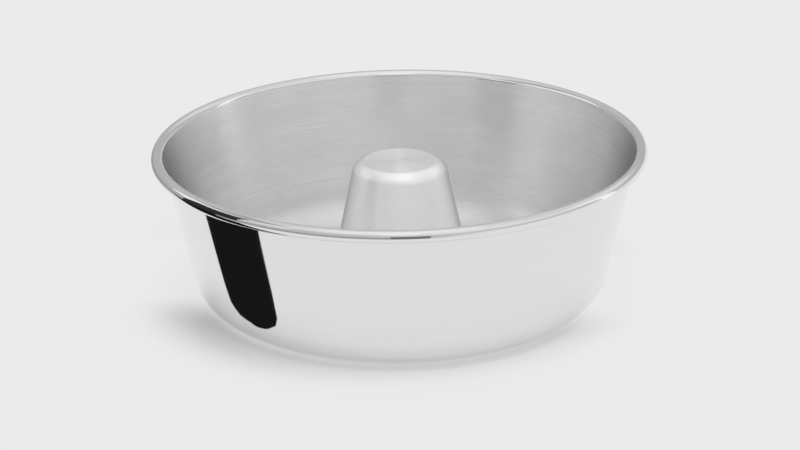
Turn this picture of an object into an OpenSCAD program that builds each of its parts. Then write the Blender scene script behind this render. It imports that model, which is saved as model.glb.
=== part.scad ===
// Ring cake pan: a flared sheet body with a wired, rolled rim, and a closed centre cone that is
// folded and turned over through the raised middle of the floor. Every section is a sheet of one
// thickness, drawn as a path of straight runs and bends and then turned about the Z axis.
// The pan stands on z = 0 and Z is its axis.

/* [Rim] */
// Diameter over the rolled rim
rim_d = 260; // [220:1:320]
// Height from the table to the top of the rim
pan_h = 84; // [70:1:110]
// Thickness across the rolled bead
bead_d = 6.5; // [5.5:0.1:8]
// How far the rim's sheet rolls round the wire, in degrees
roll_turn = 300; // [270:1:305]
// Room between the wire and the rolled sheet
wire_room = 0.05; // [0.02:0.01:0.1]
// Gap between the butted ends of the wire ring
wire_gap = 1.5; // [0.5:0.1:4]

/* [Body] */
// Thickness of the body's sheet
body_t = 1.2; // [0.8:0.1:1.4]
// Lean of the wall from upright, in degrees
wall_lean = 12.3; // [8:0.1:16]
// Outside radius of the corner between the floor and the wall
corner_r = 21; // [12:1:28]
// Height of the raised middle of the floor above the table
middle_lift = 3.4; // [2.6:0.1:5]
// Radius at which the raised middle starts to drop to the floor
middle_r = 47; // [45:1:50]
// Slope of the step round the raised middle, in degrees
step_slope = 45; // [30:1:60]
// Radius of the step's two bends, at mid sheet
step_bend_r = 2.5; // [1.5:0.1:2.6]

/* [Cone] */
// Thickness of the cone's sheet
cone_t = 1; // [0.8:0.1:1.1]
// Height of the cone's flat top above the table
cone_h = 74.5; // [55:0.5:80]
// Diameter of the turned disc on the cone's top
cone_top_d = 38.8; // [30:0.1:44]
// Outside radius of the cone's shoulder
shoulder_r = 6.8; // [5:0.1:9]
// Depth turned off the crown to leave the flat disc
facing_cut = 0.08; // [0.02:0.01:0.15]
// Lean of the cone's side from upright, in degrees
cone_lean = 12.3; // [10:0.1:13]
// Radius of the bend between the cone's side and its foot, at mid sheet
foot_bend_r = 2; // [1.5:0.1:2.5]
// Width of the flat run from the foot bend out to the fold above the floor
foot_run_w = 0.6; // [0.3:0.1:1.5]
// Width of the sheet folded back onto the floor
upper_fold_w = 2; // [1.6:0.1:3]
// Width of the sheet turned over beneath the floor
lower_fold_w = 3; // [2:0.1:4]
// Gap between the cut edge of the floor's hole and the cone's fold
hole_room = 0.05; // [0.02:0.01:0.1]

/* [Sheet] */
// How much of the sheet is drawn away from each face of a bend
bend_thinning = 0.01; // [0.005:0.005:0.05]

/* [Hidden] */
$fn = 144;

// Rim: centre of the bead's section, and the radii at mid sheet and of the wire
rim_r = rim_d / 2;
bead_r = bead_d / 2;
bead_x = rim_r - bead_r;
bead_z = pan_h - bead_r;
roll_r = bead_r - body_t / 2 + bend_thinning;
wire_r = bead_r - body_t - wire_room;
wire_gap_turn = wire_gap / bead_x * 180 / PI;

// Body: the wall's top at mid sheet, where the roll starts, and the wall's foot on the corner
wall_turn = 90 - wall_lean;
corner_mid_r = corner_r - body_t / 2;
wall_top_x = bead_x - roll_r * cos(wall_lean);
wall_top_z = bead_z + roll_r * sin(wall_lean);
wall_foot_z = body_t / 2 + corner_mid_r * (1 - cos(wall_turn));
wall_len = (wall_top_z - wall_foot_z) / cos(wall_lean);
wall_foot_x = wall_top_x - wall_len * sin(wall_lean);
floor_end_x = wall_foot_x - corner_mid_r * sin(wall_turn);
// Body: the step round the raised middle
step_drop = middle_lift - 2 * step_bend_r * (1 - cos(step_slope));
step_len = step_drop / sin(step_slope);
step_w = 2 * step_bend_r * sin(step_slope) + step_len * cos(step_slope);

// Cone: the crown before facing, and the shoulder's start and end at mid sheet
side_turn = 90 - cone_lean;
shoulder_mid_r = shoulder_r - cone_t / 2;
crown_z = cone_h + facing_cut;
crown_edge_turn = acos(1 - facing_cut / shoulder_r);
crown_x = cone_top_d / 2 - shoulder_r * sin(crown_edge_turn);
side_top_x = crown_x + shoulder_mid_r * sin(side_turn);
side_top_z = crown_z - shoulder_r + shoulder_mid_r * cos(side_turn);
// Cone: the foot, from the floor's top upwards
fold_r = 0.4 * (body_t + cone_t);
neck_len = body_t + cone_t - 2 * fold_r;
folded_run_z = middle_lift + body_t + cone_t / 2;
foot_run_z = folded_run_z + 2 * fold_r;
side_foot_z = foot_run_z + foot_bend_r * (1 - cos(side_turn));
side_len = (side_top_z - side_foot_z) / cos(cone_lean);
side_foot_x = side_top_x + side_len * sin(cone_lean);
foot_run_x = side_foot_x + foot_bend_r * sin(side_turn);
fold_start_x = foot_run_x + foot_run_w - upper_fold_w;
// Body: the hole in the floor clears the bends at the cone's neck
hole_x = fold_start_x + hole_room;

// A path step is [kind, size, turn]: a straight run of a length, or a bend of a mid-sheet radius
// through a signed angle, positive to the left. The steps follow each other in one heading.
module sheet_path(steps, t, i = 0) {
  if (i < len(steps)) {
    if (steps[i][0] == "run") {
      translate([0, -t / 2])
        square([steps[i][1], t]);
      translate([steps[i][1], 0])
        sheet_path(steps, t, i + 1);
    } else {
      centre_y = sign(steps[i][2]) * steps[i][1];
      bend(steps[i][1], steps[i][2], t);
      translate([0, centre_y])
        rotate(steps[i][2])
          translate([0, -centre_y])
            sheet_path(steps, t, i + 1);
    }
  }
}

// A ring sector that starts at the origin heading along +X, with its centre on the side it turns to
module bend(r, turn, t) {
  reach = r + t;
  translate([0, sign(turn) * r])
    intersection() {
      difference() {
        circle(r = r + t / 2 - bend_thinning);
        circle(r = r - t / 2 + bend_thinning);
      }
      if (abs(turn) > 180) {
        half_plane(reach);
        rotate(turn)
          mirror([1, 0])
            half_plane(reach);
      } else {
        intersection() {
          half_plane(reach);
          rotate(turn)
            mirror([1, 0])
              half_plane(reach);
        }
      }
    }
}

// What lies ahead of the Y axis, out to a reach
module half_plane(reach) {
  translate([0, -reach])
    square([reach, 2 * reach]);
}

// Body: from the cut edge of the floor's hole out to the free edge of the rolled rim
module pan_body() {
  steps = [
    ["run", middle_r - hole_x],
    ["bend", step_bend_r, -step_slope],
    ["run", step_len],
    ["bend", step_bend_r, step_slope],
    ["run", floor_end_x - middle_r - step_w],
    ["bend", corner_mid_r, wall_turn],
    ["run", wall_len],
    ["bend", roll_r, -roll_turn]
  ];
  color("gainsboro")
    rotate_extrude()
      translate([hole_x, middle_lift + body_t / 2])
        sheet_path(steps, body_t);
}

// Wire: a ring that lies in the bead, with its ends butted
module rim_wire() {
  color("slategray")
    rotate([0, 0, wire_gap_turn / 2])
      rotate_extrude(angle = 360 - wire_gap_turn)
        translate([bead_x, bead_z])
          circle(r = wire_r);
}

// Cone: from the middle of its top down the side, folded on the floor, through the hole and
// turned over beneath
module centre_cone() {
  steps = [
    ["run", crown_x],
    ["bend", shoulder_mid_r, -side_turn],
    ["run", side_len],
    ["bend", foot_bend_r, side_turn],
    ["run", foot_run_w],
    ["bend", fold_r, -180],
    ["run", upper_fold_w],
    ["bend", fold_r, 90],
    ["run", neck_len],
    ["bend", fold_r, 90],
    ["run", lower_fold_w]
  ];
  color("silver")
    rotate_extrude()
      difference() {
        translate([0, crown_z - cone_t / 2])
          sheet_path(steps, cone_t);
        translate([0, cone_h])
          square([rim_r, cone_t]);
      }
}

pan_body();
rim_wire();
centre_cone();
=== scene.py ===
# Ring cake pan with a wired rim and a closed centre cone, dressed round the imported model
import math

import bmesh
import bpy
from mathutils import Matrix, Vector


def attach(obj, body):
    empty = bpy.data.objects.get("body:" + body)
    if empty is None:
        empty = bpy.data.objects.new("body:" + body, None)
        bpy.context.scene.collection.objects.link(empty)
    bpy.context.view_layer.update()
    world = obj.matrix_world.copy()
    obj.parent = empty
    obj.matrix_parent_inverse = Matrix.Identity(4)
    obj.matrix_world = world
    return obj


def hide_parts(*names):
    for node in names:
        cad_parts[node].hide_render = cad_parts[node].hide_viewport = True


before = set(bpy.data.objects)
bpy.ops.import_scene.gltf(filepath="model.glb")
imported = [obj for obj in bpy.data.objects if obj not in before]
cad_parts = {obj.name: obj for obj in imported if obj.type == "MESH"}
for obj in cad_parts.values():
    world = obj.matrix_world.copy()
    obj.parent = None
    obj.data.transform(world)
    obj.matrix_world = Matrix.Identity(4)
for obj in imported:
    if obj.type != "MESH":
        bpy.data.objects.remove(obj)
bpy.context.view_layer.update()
mm = 0.001
turnSteps = 288  # steps of each full turn about Z
bendStep = 5  # degrees of each step round a bend
weldWidth = 1e-4  # points this near each other, in millimetres, become one
axisWidth = 1e-3  # points this near the Z axis, in millimetres, are on it

bodySheet = {
    "thickness": 1.2,
    "rimRadius": 130.0,
    "height": 84.0,
    "beadRadius": 3.25,
    "wallLean": 12.3,  # degrees from upright
    "cornerRadius": 21.0,  # outside
    "rollTurn": 300.0,  # degrees of sheet round the wire
    "holeRadius": 38.353,
    "middleRadius": 47.0,
    "middleLift": 3.4,
    "stepSlope": 45.0,
    "stepBend": 2.5,
    "edgeRound": 0.25,
    "polishBelow": 0.3,  # how far below the start of the roll the bead's polish reaches
    "polishBeyond": 0.9,  # and how far out from it all faces are polished
    "flatFrom": 0.999,  # share of a face's normal that points down where it is flat
    "sharpAngle": 28.0,  # degrees between faces from which an edge is shaded sharp
}
coneSheet = {
    "thickness": 1.0,
    "height": 74.5,
    "topRadius": 19.4,
    "shoulderRadius": 6.8,  # outside
    "facingCut": 0.08,
    "sideLean": 12.3,
    "footBend": 2.0,
    "footRun": 0.6,
    "upperFold": 2.0,
    "lowerFold": 3.0,
    "foldShare": 0.4,  # mid-sheet radius of the folds over the two sheets' thickness
    "edgeRound": 0.25,
    "discDepth": 0.1,  # the faced disc's faces lie within this of the top
    "flatFrom": 0.9999,
    "sharpAngle": 6.0,
}


# A strip of sheet in the XZ plane that follows runs and bends, as the sheet is formed
def layStrip(bm, startX, startZ, steps, thickness):
    half = thickness / 2
    lead = [bm.verts.new((startX, 0, startZ - half)), bm.verts.new((startX, 0, startZ + half))]
    edge = bm.edges.new(lead)
    centre = Vector((startX, 0, startZ))
    heading = 0.0
    for kind, size, turn in steps:
        along = Vector((math.cos(heading), 0, math.sin(heading)))
        if kind == "run":
            grown = bmesh.ops.extrude_edge_only(bm, edges=[edge])["geom"]
            edge = [g for g in grown if isinstance(g, bmesh.types.BMEdge)][0]
            bmesh.ops.translate(bm, verts=edge.verts, vec=along * size)
            centre += along * size
        else:
            side = Vector((-along.z, 0, along.x)) * math.copysign(size, turn)
            hub = centre + side
            angle = math.radians(turn)
            spun = bmesh.ops.spin(
                bm,
                geom=[edge] + list(edge.verts),
                cent=hub,
                axis=(0, -1, 0),
                angle=angle,
                steps=max(2, round(abs(turn) / bendStep)),
                use_merge=False,
            )["geom_last"]
            edge = [g for g in spun if isinstance(g, bmesh.types.BMEdge)][0]
            centre = hub + Matrix.Rotation(angle, 3, (0, -1, 0)) @ (centre - hub)
            heading += angle


# The strip's outline, turned a full circle about Z into a closed shell. With openLead the strip
# starts on the axis, so its lead edge isn't turned
def turnStrip(bm, edgeRound, openLead):
    bmesh.ops.remove_doubles(bm, verts=bm.verts, dist=weldWidth)
    corners = [v for v in bm.verts if len(v.link_edges) == 2 and v.calc_edge_angle(0) > 1]
    corners = [v for v in corners if not (openLead and v.co.x < axisWidth)]
    bmesh.ops.bevel(
        bm,
        geom=corners,
        offset=edgeRound,
        offset_type="OFFSET",
        affect="VERTICES",
        segments=3,
        profile=0.5,
        material=-1,
    )
    outline = [e for e in bm.edges if e.is_boundary]
    if openLead:
        outline = [e for e in outline if max(v.co.x for v in e.verts) > axisWidth]
    keep = set(outline)
    bmesh.ops.delete(bm, geom=list(bm.faces), context="FACES_ONLY")
    bmesh.ops.delete(bm, geom=[e for e in bm.edges if e not in keep], context="EDGES")
    bmesh.ops.spin(
        bm,
        geom=list(bm.edges) + list(bm.verts),
        cent=(0, 0, 0),
        axis=(0, 0, 1),
        angle=math.tau,
        steps=turnSteps,
        use_merge=True,
    )
    bmesh.ops.remove_doubles(bm, verts=bm.verts, dist=weldWidth)
    bmesh.ops.recalc_face_normals(bm, faces=bm.faces)


def finishPiece(bm, name, materials, sharpAngle):
    sharp = math.radians(sharpAngle)
    for face in bm.faces:
        face.smooth = True
    for e in bm.edges:
        e.smooth = len(e.link_faces) == 2 and e.calc_face_angle(0) < sharp
    bmesh.ops.scale(bm, vec=(mm, mm, mm), verts=bm.verts)
    mesh = bpy.data.meshes.new(name)
    bm.to_mesh(mesh)
    bm.free()
    for material in materials:
        mesh.materials.append(material)
    piece = bpy.data.objects.new(name, mesh)
    bpy.context.scene.collection.objects.link(piece)
    return piece


def addNode(tree, kind, inputs=None, **settings):
    node = tree.nodes.new(kind)
    for key, value in settings.items():
        setattr(node, key, value)
    for key, value in (inputs or {}).items():
        if isinstance(value, bpy.types.NodeSocket):
            tree.links.new(value, node.inputs[key])
        else:
            node.inputs[key].default_value = value
    return node


def addMath(tree, operation, a, b=0.0):
    return addNode(tree, "ShaderNodeMath", {0: a, 1: b}, operation=operation).outputs[0]


def addRamp(tree, value, start, end, low, high, curve="LINEAR"):
    inputs = {0: value, 1: start, 2: end, 3: low, 4: high}
    return addNode(tree, "ShaderNodeMapRange", inputs, interpolation_type=curve).outputs[0]


def addScaled(tree, vector, factor):
    inputs = {0: vector, "Scale": factor}
    return addNode(tree, "ShaderNodeVectorMath", inputs, operation="SCALE").outputs[0]


def addLength(tree, vector):
    return addNode(tree, "ShaderNodeVectorMath", {0: vector}, operation="LENGTH").outputs["Value"]


def addDot(tree, a, b):
    return addNode(tree, "ShaderNodeVectorMath", {0: a, 1: b}, operation="DOT_PRODUCT").outputs["Value"]


# A vector's part in the XY plane, its direction there, and its height
def addFlat(tree, vector):
    parts = addNode(tree, "ShaderNodeSeparateXYZ", {0: vector})
    flat = addNode(tree, "ShaderNodeCombineXYZ", {0: parts.outputs[0], 1: parts.outputs[1]}).outputs[0]
    way = addNode(tree, "ShaderNodeVectorMath", {0: flat}, operation="NORMALIZE").outputs[0]
    return flat, way, parts.outputs[2]


def addSocket(tree, name, direction, value=None):
    socket = tree.interface.new_socket(name=name, in_out=direction, socket_type="NodeSocketFloat")
    if value is not None:
        socket.default_value = value


turnedNoise = {
    "ringSpread": 1.6,  # how much the rings vary round the pan
    "arcSpread": 14.0,
    "arcPitch": 1.7,  # lines of arcs to each ring line
    "arcSpan": (0.6, 0.78),  # noise values at which an arc starts and is full
    "cloudSpread": 2.2,
    "cloudPitch": 0.03,  # clouds to each millimetre of the sheet's path
    "patchSpan": (0.42, 0.62),  # cloud values between which the rings go from faint to strong
    "patchShare": (0.25, 1.2),
}


# Rings and arcs left by spinning and polishing: noise laid along the turning direction
def makeTurnedGroup():
    spec = turnedNoise
    tree = bpy.data.node_groups.new("turnedMarks", "ShaderNodeTree")
    addSocket(tree, "Height Slope", "INPUT", 1.0)
    addSocket(tree, "Line Pitch", "INPUT", 1.2)
    addSocket(tree, "Scratch Amount", "INPUT", 0.5)
    for name in ("Rings", "Scratches", "Clouds"):
        addSocket(tree, name, "OUTPUT")
    start = tree.nodes.new("NodeGroupInput")
    end = tree.nodes.new("NodeGroupOutput")
    flat, spoke, height = addFlat(tree, addNode(tree, "ShaderNodeTexCoord").outputs["Object"])
    rise = addMath(tree, "MULTIPLY", height, start.outputs["Height Slope"])
    path = addMath(tree, "DIVIDE", addMath(tree, "ADD", addLength(tree, flat), rise), mm)
    lines = addMath(tree, "DIVIDE", path, start.outputs["Line Pitch"])

    def ringNoise(spread, level, detail, rough):
        around = addScaled(tree, spoke, spread)
        lift = addNode(tree, "ShaderNodeCombineXYZ", {2: level}).outputs[0]
        spot = addNode(tree, "ShaderNodeVectorMath", {0: around, 1: lift}, operation="ADD").outputs[0]
        inputs = {"Vector": spot, "Scale": 1.0, "Detail": detail, "Roughness": rough}
        return addNode(tree, "ShaderNodeTexNoise", inputs).outputs[0]

    rings = ringNoise(spec["ringSpread"], lines, 3.0, 0.65)
    arcs = ringNoise(spec["arcSpread"], addMath(tree, "MULTIPLY", lines, spec["arcPitch"]), 2.0, 0.5)
    arcs = addRamp(tree, arcs, *spec["arcSpan"], 0.0, start.outputs["Scratch Amount"])
    clouds = ringNoise(spec["cloudSpread"], addMath(tree, "MULTIPLY", path, spec["cloudPitch"]), 3.0, 0.6)
    patch = addRamp(tree, clouds, *spec["patchSpan"], *spec["patchShare"])
    rings = addMath(tree, "MULTIPLY", addMath(tree, "SUBTRACT", rings, 0.5), patch)
    rings = addMath(tree, "ADD", rings, 0.5)
    tree.links.new(rings, end.inputs["Rings"])
    tree.links.new(arcs, end.inputs["Scratches"])
    tree.links.new(clouds, end.inputs["Clouds"])
    return tree


turnedMarks = makeTurnedGroup()
print("turned marks group made")

# Pitch is in millimetres between ring lines, and bump in metres. The edge shade tone is painted shade:
# the share of the tone kept where the sheet is seen edge on, which darkens the sheet there
polish = {
    "name": "polishedAluminium",
    "colour": (0.84, 0.84, 0.845),
    "roughness": (0.035, 0.06),
    "slope": 1.0,
    "pitch": 2.4,
    "scratches": 0.25,
    "shade": 0.02,
    "bump": 0.0000006,
    "anisotropic": 0.0,
    "metallic": 1.0,
    "edgeShadeTone": 1.0,
}
satin = {
    "name": "satinAluminium",
    "colour": (0.97, 0.97, 0.975),
    "roughness": (0.3, 0.37),
    "slope": 1.0,
    "pitch": 1.1,
    "scratches": 0.8,
    "shade": 0.14,
    "bump": 0.0000028,
    "anisotropic": 0.92,
    "metallic": 0.93,
    "edgeShadeTone": 0.5,
}
coneSatin = dict(
    satin, name="satinCone", colour=(0.985, 0.985, 0.99), slope=-1.0, shade=0.05, metallic=0.55
)
facedTop = dict(
    coneSatin, name="facedTop", colour=(0.82, 0.82, 0.825), roughness=(0.4, 0.46), edgeShadeTone=1.0
)
underside = dict(satin, name="plainUnderside", colour=(0.74, 0.74, 0.745), roughness=(0.36, 0.48))
markUse = {
    "wornSpan": (0.35, 0.65),  # mean of rings and clouds that spans the roughness and the shade
    "edgeShadeSpan": (0.45, 0.98),  # Facing values between which the painted edge-on shade comes in
    "scratchDepth": 0.6,  # beside the rings' depth
}


def makeMetal(finish):
    material = bpy.data.materials.new(finish["name"])
    material.use_nodes = True
    tree = material.node_tree
    shader = tree.nodes["Principled BSDF"]
    shader.inputs["Metallic"].default_value = finish["metallic"]
    shader.inputs["Anisotropic"].default_value = finish["anisotropic"]
    shader.inputs["Anisotropic Rotation"].default_value = 0.25
    marks = tree.nodes.new("ShaderNodeGroup")
    marks.node_tree = turnedMarks
    marks.inputs["Height Slope"].default_value = finish["slope"]
    marks.inputs["Line Pitch"].default_value = finish["pitch"]
    marks.inputs["Scratch Amount"].default_value = finish["scratches"]
    rings, arcs, clouds = (marks.outputs[n] for n in ("Rings", "Scratches", "Clouds"))
    worn = addMath(tree, "MULTIPLY", addMath(tree, "ADD", rings, clouds), 0.5)
    rough = addRamp(tree, worn, *markUse["wornSpan"], *finish["roughness"])
    tree.links.new(rough, shader.inputs["Roughness"])
    tone = addRamp(tree, worn, *markUse["wornSpan"], 1.0 - finish["shade"], 1.0)
    tone = addMath(tree, "SUBTRACT", tone, addMath(tree, "MULTIPLY", arcs, finish["shade"]))
    # Painted shade: the colour is darkened where the sheet is seen edge on, going by the Facing of a Layer
    # Weight
    facing = addNode(tree, "ShaderNodeLayerWeight", {"Blend": 0.5}).outputs["Facing"]
    paintedEdgeShade = addRamp(tree, facing, *markUse["edgeShadeSpan"], 1.0, finish["edgeShadeTone"], "SMOOTHSTEP")
    colour = addScaled(tree, finish["colour"], addMath(tree, "MULTIPLY", tone, paintedEdgeShade))
    tree.links.new(colour, shader.inputs["Base Color"])
    height = addMath(tree, "SUBTRACT", rings, addMath(tree, "MULTIPLY", arcs, markUse["scratchDepth"]))
    bump = addNode(tree, "ShaderNodeBump", {"Height": height, "Strength": 1.0, "Distance": finish["bump"]})
    tree.links.new(bump.outputs[0], shader.inputs["Normal"])
    if finish["anisotropic"]:
        tangent = addNode(tree, "ShaderNodeTangent", direction_type="RADIAL", axis="Z")
        tree.links.new(tangent.outputs[0], shader.inputs["Tangent"])
    return material


polished = makeMetal(polish)
satinInside = makeMetal(satin)
satinCone = makeMetal(coneSatin)
facedDisc = makeMetal(facedTop)
plainUnder = makeMetal(underside)
print("metals made")


def makePanBody():
    spec = bodySheet
    t = spec["thickness"]
    lean = math.radians(spec["wallLean"])
    rollMid = spec["beadRadius"] - t / 2
    cornerMid = spec["cornerRadius"] - t / 2
    wallTurn = 90 - spec["wallLean"]
    topX = spec["rimRadius"] - spec["beadRadius"] - rollMid * math.cos(lean)
    topZ = spec["height"] - spec["beadRadius"] + rollMid * math.sin(lean)
    footZ = t / 2 + cornerMid * (1 - math.cos(math.radians(wallTurn)))
    wallLength = (topZ - footZ) / math.cos(lean)
    floorEnd = topX - wallLength * math.sin(lean) - cornerMid * math.sin(math.radians(wallTurn))
    slope = math.radians(spec["stepSlope"])
    stepLength = (spec["middleLift"] - 2 * spec["stepBend"] * (1 - math.cos(slope))) / math.sin(slope)
    stepWidth = 2 * spec["stepBend"] * math.sin(slope) + stepLength * math.cos(slope)
    steps = [
        ("run", spec["middleRadius"] - spec["holeRadius"], 0),
        ("bend", spec["stepBend"], -spec["stepSlope"]),
        ("run", stepLength, 0),
        ("bend", spec["stepBend"], spec["stepSlope"]),
        ("run", floorEnd - spec["middleRadius"] - stepWidth, 0),
        ("bend", cornerMid, wallTurn),
        ("run", wallLength, 0),
        ("bend", rollMid, -spec["rollTurn"]),
    ]
    bm = bmesh.new()
    layStrip(bm, spec["holeRadius"], spec["middleLift"] + t / 2, steps, t)
    turnStrip(bm, spec["edgeRound"], False)
    # The inside is satin, the flat underside is plain, and the rest is polished
    for face in bm.faces:
        middle = face.calc_center_median()
        radius = math.hypot(middle.x, middle.y)
        outward = face.normal.dot(Vector((middle.x, middle.y, 0)).normalized())
        inside = face.normal.z > outward if middle.z < spec["cornerRadius"] else outward < 0
        onBead = middle.z > topZ - spec["polishBelow"] or radius > topX + spec["polishBeyond"]
        flatUnder = face.normal.z < -spec["flatFrom"]
        face.material_index = 1 if inside and not onBead else (2 if flatUnder else 0)
    piece = finishPiece(bm, "panBodySheet", [polished, satinInside, plainUnder], spec["sharpAngle"])
    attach(piece, "root")
    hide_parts("pan_body")
    return piece


def makeCone():
    spec = coneSheet
    t = spec["thickness"]
    bothSheets = bodySheet["thickness"] + t
    foldRadius = spec["foldShare"] * bothSheets
    sideTurn = 90 - spec["sideLean"]
    turn = math.radians(sideTurn)
    shoulderMid = spec["shoulderRadius"] - t / 2
    crownZ = spec["height"] + spec["facingCut"]
    crownEdgeTurn = math.acos(1 - spec["facingCut"] / spec["shoulderRadius"])
    crownX = spec["topRadius"] - spec["shoulderRadius"] * math.sin(crownEdgeTurn)
    sideTopZ = crownZ - spec["shoulderRadius"] + shoulderMid * math.cos(turn)
    footRunZ = bodySheet["middleLift"] + bodySheet["thickness"] + t / 2 + 2 * foldRadius
    sideFootZ = footRunZ + spec["footBend"] * (1 - math.cos(turn))
    steps = [
        ("run", crownX, 0),
        ("bend", shoulderMid, -sideTurn),
        ("run", (sideTopZ - sideFootZ) / math.cos(math.radians(spec["sideLean"])), 0),
        ("bend", spec["footBend"], sideTurn),
        ("run", spec["footRun"], 0),
        ("bend", foldRadius, -180),
        ("run", spec["upperFold"], 0),
        ("bend", foldRadius, 90),
        ("run", bothSheets - 2 * foldRadius, 0),
        ("bend", foldRadius, 90),
        ("run", spec["lowerFold"], 0),
    ]
    bm = bmesh.new()
    layStrip(bm, 0, crownZ - t / 2, steps, t)
    bmesh.ops.bisect_plane(
        bm,
        geom=list(bm.verts) + list(bm.edges) + list(bm.faces),
        plane_co=(0, 0, spec["height"]),
        plane_no=(0, 0, 1),
        clear_outer=True,
    )
    turnStrip(bm, spec["edgeRound"], True)
    for face in bm.faces:
        atTop = face.calc_center_median().z > spec["height"] - spec["discDepth"]
        face.material_index = 1 if atTop and face.normal.z > spec["flatFrom"] else 0
    piece = finishPiece(bm, "centreConeSheet", [satinCone, facedDisc], spec["sharpAngle"])
    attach(piece, "root")
    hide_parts("centre_cone")
    return piece


panBodyPiece = makePanBody()
conePiece = makeCone()
print("pan body and cone made", len(panBodyPiece.data.polygons), len(conePiece.data.polygons))

wireFinish = {
    "colour": (0.42, 0.43, 0.44),
    "roughness": (0.42, 0.55),
    "spangles": 900.0,  # to each metre
    "tones": (0.8, 1.15),
}


def dressWire():
    material = bpy.data.materials.new("galvanisedWire")
    material.use_nodes = True
    tree = material.node_tree
    shader = tree.nodes["Principled BSDF"]
    shader.inputs["Metallic"].default_value = 1.0
    place = addNode(tree, "ShaderNodeTexCoord").outputs["Object"]
    spangle = addNode(tree, "ShaderNodeTexVoronoi", {"Vector": place, "Scale": wireFinish["spangles"]})
    grey = addNode(tree, "ShaderNodeSeparateXYZ", {0: spangle.outputs["Color"]}).outputs[0]
    tone = addRamp(tree, grey, 0.0, 1.0, *wireFinish["tones"])
    tree.links.new(addScaled(tree, wireFinish["colour"], tone), shader.inputs["Base Color"])
    rough = addRamp(tree, grey, 0.0, 1.0, *wireFinish["roughness"])
    tree.links.new(rough, shader.inputs["Roughness"])
    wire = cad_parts["rim_wire"]
    wire.data.materials.clear()
    wire.data.materials.append(material)


dressWire()
print("wire dressed")

# Each shadow entry is a start, an end and the strengths at both, in metres from the pan's axis or,
# for the sides, from the middle line of the shadow, which crosses the pan
floorSheet = {
    "nearRadius": 0.3,  # the floor that the metal reflects
    "farRadius": 1.3,
    "steps": 96,
    "drop": 0.0001,  # below the pan's underside
    "paper": 0.83,  # tone of the floor and of the backdrop behind it
    "glossLift": 0.045,  # how much brighter the plain paper is in the metal
    "shadowShare": 0.87,  # how much of the paper's tone the shadow takes
    "shadowEdge": (0.112, 0.148, 1.0, 0.1),
    "shadowFoot": (0.097, 0.109, 0.53, 1.0),
    "shadowSides": (0.03, 0.072, 0.1, 1.0),
    "shadowAcross": (0.12, 1, 0),  # the way across the middle line
    "shadowMiddle": 0.02,  # how far along that way the line lies
    "footBehind": (0.03, 0.07, 0.0, 0.03),  # what is added to the foot's radius towards the back
}
studio = {
    "roomLight": 0.475,
    "keyLight": 0.525,
    "keyTilt": 25.0,  # degrees from overhead
    "keyAzimuth": 20.0,  # degrees from the camera's side towards +X
    "keySpread": 40.0,
}
# The room as gloss sees it, in bands from the ground up. Each band goes from its first tone to its
# second towards an azimuth in degrees, and gives way to the next between two elevations
roomBands = [
    {"towards": 100.0, "spread": (-0.3, 0.6), "tones": (0.38, 0.86), "until": (1.0, 9.0)},
    {"towards": 12.0, "spread": (-0.75, 0.05), "tones": (0.5, 0.58), "until": (20.0, 31.0)},
    {"towards": 85.0, "spread": (-0.6, 0.7), "tones": (0.56, 0.8), "until": (38.0, 50.0)},
    {"towards": 10.0, "spread": (-0.5, 0.95), "tones": (0.72, 0.87), "until": (64.0, 74.0)},
    {"towards": 10.0, "spread": (-0.5, 0.4), "tones": (0.94, 0.94), "until": None},
]
# Dark ground beside the pan that gloss alone sees, with its outline and height in millimetres
darkGround = {
    "height": 0.3,
    "level": 0.009,
    "outline": [
        (-134, -46.5), (-118, -55), (-106, -65), (-97, -75), (-90, -80.5), (-86.5, -87), (-85, -93.5),
        (-89, -97), (-107, -101.5), (-146, -109), (-180, -116.5), (-230, -125), (-300, -85), (-560, -90),
        (-560, 215), (-189, -19.5),
    ],
}
# Cards that gloss alone sees: azimuth from the camera's side towards +X and elevation in degrees,
# distance in metres, turn in degrees, width and height in metres, and brightness. A card faces the
# pan's foot unless it is upright, which a last True says
cards = {
    "leftBox": (-98.0, 34.0, 1.1, 0.0, 1.0, 0.4, 0.93),
    "leftFill": (-62.0, 35.0, 1.15, 0.0, 0.36, 0.34, 0.82),
    "leftGap": (-105.0, 52.0, 1.05, 0.0, 0.95, 0.3, 0.45),
    "rightBox": (101.0, 17.0, 1.1, 0.0, 0.19, 1.2, 1.05),
    "cameraSide": (4.0, -1.0, 1.3, 0.0, 0.38, 0.9, 0.19),
    "leftFlag": (-65.4, 30.0, 0.216, 0.0, 0.09, 0.08, 0.03, True),
    "middleStrip": (0.0, 66.0, 1.1, 0.0, 0.24, 0.9, 0.98),
    "leftStrip": (-70.0, 64.0, 1.1, -56.0, 0.12, 0.6, 0.8),
    "rightStrip": (70.0, 64.0, 1.1, 56.0, 0.12, 0.6, 0.8),
}


def linkStage(bm, name, material):
    mesh = bpy.data.meshes.new(name)
    bm.to_mesh(mesh)
    bm.free()
    mesh.materials.append(material)
    obj = bpy.data.objects.new(name, mesh)
    bpy.context.scene.collection.objects.link(obj)
    return obj


def glossOnly(obj):
    obj.visible_camera = False
    obj.visible_diffuse = False
    obj.visible_shadow = False
    obj.visible_transmission = False


def greyTone(level):
    return (level, level, level, 1)


def makeEmission(name, level):
    material = bpy.data.materials.new(name)
    material.use_nodes = True
    tree = material.node_tree
    tree.nodes.clear()
    glow = addNode(tree, "ShaderNodeEmission", {"Color": greyTone(level), "Strength": 1.0})
    out = tree.nodes.new("ShaderNodeOutputMaterial")
    tree.links.new(glow.outputs[0], out.inputs[0])
    return material


def wayFrom(azimuth, elevation):
    a, e = math.radians(azimuth), math.radians(elevation)
    return Vector((math.sin(a) * math.cos(e), -math.cos(a) * math.cos(e), math.sin(e)))


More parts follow.
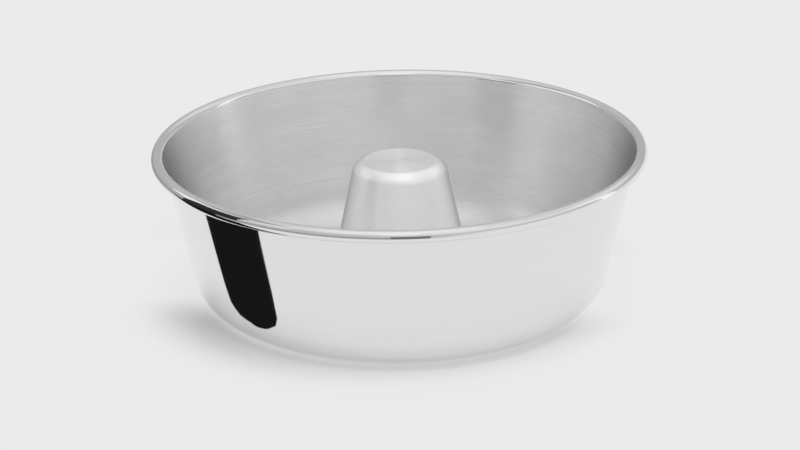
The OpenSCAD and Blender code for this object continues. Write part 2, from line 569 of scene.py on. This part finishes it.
# Paper that keeps the pan's shadow, and shows its own tone to the camera and in the metal
def makePaper():
    spec = floorSheet
    material = bpy.data.materials.new("palePaper")
    material.use_nodes = True
    tree = material.node_tree
    shader = tree.nodes["Principled BSDF"]
    shader.inputs["Base Color"].default_value = greyTone(spec["paper"])
    shader.inputs["Roughness"].default_value = 0.9
    shader.inputs["Specular IOR Level"].default_value = 0.0
    rays = addNode(tree, "ShaderNodeLightPath").outputs
    seen = addMath(tree, "MAXIMUM", rays["Is Camera Ray"], rays["Is Glossy Ray"])
    seen = addMath(tree, "MAXIMUM", seen, rays["Is Transmission Ray"])
    lift = addMath(tree, "ADD", addMath(tree, "MULTIPLY", rays["Is Glossy Ray"], spec["glossLift"]), 1.0)
    plain = addNode(tree, "ShaderNodeEmission", {"Color": greyTone(spec["paper"]), "Strength": lift})
    place = addNode(tree, "ShaderNodeTexCoord").outputs["Object"]
    radius = addLength(tree, place)
    depth = addDot(tree, place, spec["shadowAcross"])
    across = addMath(tree, "ABSOLUTE", addMath(tree, "SUBTRACT", depth, spec["shadowMiddle"]))
    foot = addMath(tree, "ADD", radius, addRamp(tree, depth, *spec["footBehind"]))
    shade = spec["shadowShare"]
    for name, value in (("shadowEdge", radius), ("shadowFoot", foot), ("shadowSides", across)):
        shade = addMath(tree, "MULTIPLY", addRamp(tree, value, *spec[name], "SMOOTHSTEP"), shade)
    share = addMath(tree, "MULTIPLY", seen, addMath(tree, "SUBTRACT", 1.0, shade))
    mixed = addNode(tree, "ShaderNodeMixShader", {0: share, 1: shader.outputs[0], 2: plain.outputs[0]})
    tree.links.new(mixed.outputs[0], tree.nodes["Material Output"].inputs["Surface"])
    return material


# A near disc and a far ring, which the metal doesn't reflect
def makeFloor():
    spec = floorSheet
    material = makePaper()
    circle = {
        "segments": spec["steps"],
        "radius": spec["nearRadius"],
        "matrix": Matrix.Translation((0, 0, -spec["drop"])),
    }
    near = bmesh.new()
    bmesh.ops.create_circle(near, cap_ends=True, **circle)
    linkStage(near, "floor", material)
    far = bmesh.new()
    bmesh.ops.create_circle(far, **circle)
    grown = bmesh.ops.extrude_edge_only(far, edges=far.edges)["geom"]
    outer = [g for g in grown if isinstance(g, bmesh.types.BMVert)]
    wider = spec["farRadius"] / spec["nearRadius"]
    bmesh.ops.scale(far, vec=(wider, wider, 1), verts=outer)
    bmesh.ops.recalc_face_normals(far, faces=far.faces)
    linkStage(far, "farFloor", material).visible_glossy = False


def makeDarkGround():
    spec = darkGround
    bm = bmesh.new()
    face = bm.faces.new([bm.verts.new((x * mm, y * mm, spec["height"] * mm)) for x, y in spec["outline"]])
    bmesh.ops.triangulate(bm, faces=[face])
    glossOnly(linkStage(bm, "darkGround", makeEmission("blackPaper", spec["level"])))


def makeCard(name, azimuth, elevation, distance, spin, width, height, level, upright=False):
    bm = bmesh.new()
    bmesh.ops.create_grid(bm, x_segments=1, y_segments=1, size=0.5)
    bmesh.ops.scale(bm, vec=(width, height, 1), verts=bm.verts)
    way = wayFrom(azimuth, elevation)
    front = wayFrom(azimuth, 0) if upright else way
    turn = (-front).to_track_quat("Z", "Y").to_matrix().to_4x4()
    turn = turn @ Matrix.Rotation(math.radians(spin), 4, "Z")
    bmesh.ops.transform(bm, matrix=Matrix.Translation(way * distance) @ turn, verts=bm.verts)
    glossOnly(linkStage(bm, name, makeEmission(name + "Cloth", level)))


# Plain light for diffuse rays, the bands for gloss, and the floor's paper behind the pan
def makeWorld():
    world = bpy.data.worlds.new("studioRoom")
    bpy.context.scene.world = world
    world.use_nodes = True
    tree = world.node_tree
    tree.nodes.clear()
    way, height = addFlat(tree, addNode(tree, "ShaderNodeTexCoord").outputs["Generated"])[1:]
    gloss, edge = None, None
    for band in roomBands:
        facing = addDot(tree, way, wayFrom(band["towards"], 0))
        tone = addRamp(tree, facing, *band["spread"], *band["tones"], "SMOOTHSTEP")
        if edge:
            low, high = (math.sin(math.radians(a)) for a in edge)
            over = addRamp(tree, height, low, high, 0.0, 1.0, "SMOOTHSTEP")
            mix = addNode(tree, "ShaderNodeMix", {0: over, 2: gloss, 3: tone}, data_type="FLOAT")
            tone = mix.outputs[0]
        gloss, edge = tone, band["until"]

    def background(strength):
        inputs = {"Color": greyTone(1), "Strength": strength}
        return addNode(tree, "ShaderNodeBackground", inputs).outputs[0]

    def choose(factor, first, second):
        return addNode(tree, "ShaderNodeMixShader", {0: factor, 1: first, 2: second}).outputs[0]

    rays = addNode(tree, "ShaderNodeLightPath").outputs
    lit = choose(rays["Is Glossy Ray"], background(studio["roomLight"]), background(gloss))
    whole = choose(rays["Is Camera Ray"], lit, background(floorSheet["paper"]))
    out = tree.nodes.new("ShaderNodeOutputWorld")
    tree.links.new(whole, out.inputs[0])


def makeKey():
    lamp = bpy.data.lights.new("keyLamp", "SUN")
    lamp.energy = studio["keyLight"] * math.pi / math.cos(math.radians(studio["keyTilt"]))
    lamp.angle = math.radians(studio["keySpread"])
    key = bpy.data.objects.new("keyLamp", lamp)
    way = wayFrom(studio["keyAzimuth"], 90 - studio["keyTilt"])
    key.rotation_euler = way.to_track_quat("Z", "Y").to_euler()
    key.visible_glossy = False
    bpy.context.scene.collection.objects.link(key)


cameraPlace = {
    "aim": (-0.367, 0, 38.22),  # millimetres
    "distance": 1432.9,  # millimetres
    "elevation": 20.990,  # degrees
    "roll": -1.003,
    "lensPixels": 2701.0,  # focal length in pixels of an image of the width below
    "imageWidth": 800,
    "sensorWidth": 36.0,  # millimetres
    "clip": (0.05, 20),  # metres
}


def makeCamera():
    spec = cameraPlace
    data = bpy.data.cameras.new("camera")
    camera = bpy.data.objects.new("camera", data)
    bpy.context.scene.collection.objects.link(camera)
    elevation, roll = math.radians(spec["elevation"]), math.radians(spec["roll"])
    forward = Vector((0, math.cos(elevation), -math.sin(elevation)))
    upward = Vector((0, math.sin(elevation), math.cos(elevation)))
    level = Vector((1, 0, 0))
    across = math.cos(roll) * level + math.sin(roll) * upward
    up = -math.sin(roll) * level + math.cos(roll) * upward
    turn = Matrix((across, up, -forward)).transposed().to_4x4()
    place = (Vector(spec["aim"]) - forward * spec["distance"]) * mm
    camera.matrix_world = Matrix.Translation(place) @ turn
    data.sensor_fit = "HORIZONTAL"
    data.sensor_width = spec["sensorWidth"]
    data.lens = spec["sensorWidth"] * spec["lensPixels"] / spec["imageWidth"]
    data.clip_start, data.clip_end = spec["clip"]
    bpy.context.scene.camera = camera


makeFloor()
makeDarkGround()
for cardName, cardSpec in cards.items():
    makeCard(cardName, *cardSpec)
makeWorld()
makeKey()
makeCamera()
bpy.context.scene.view_settings.view_transform = "Standard"
print("studio made")
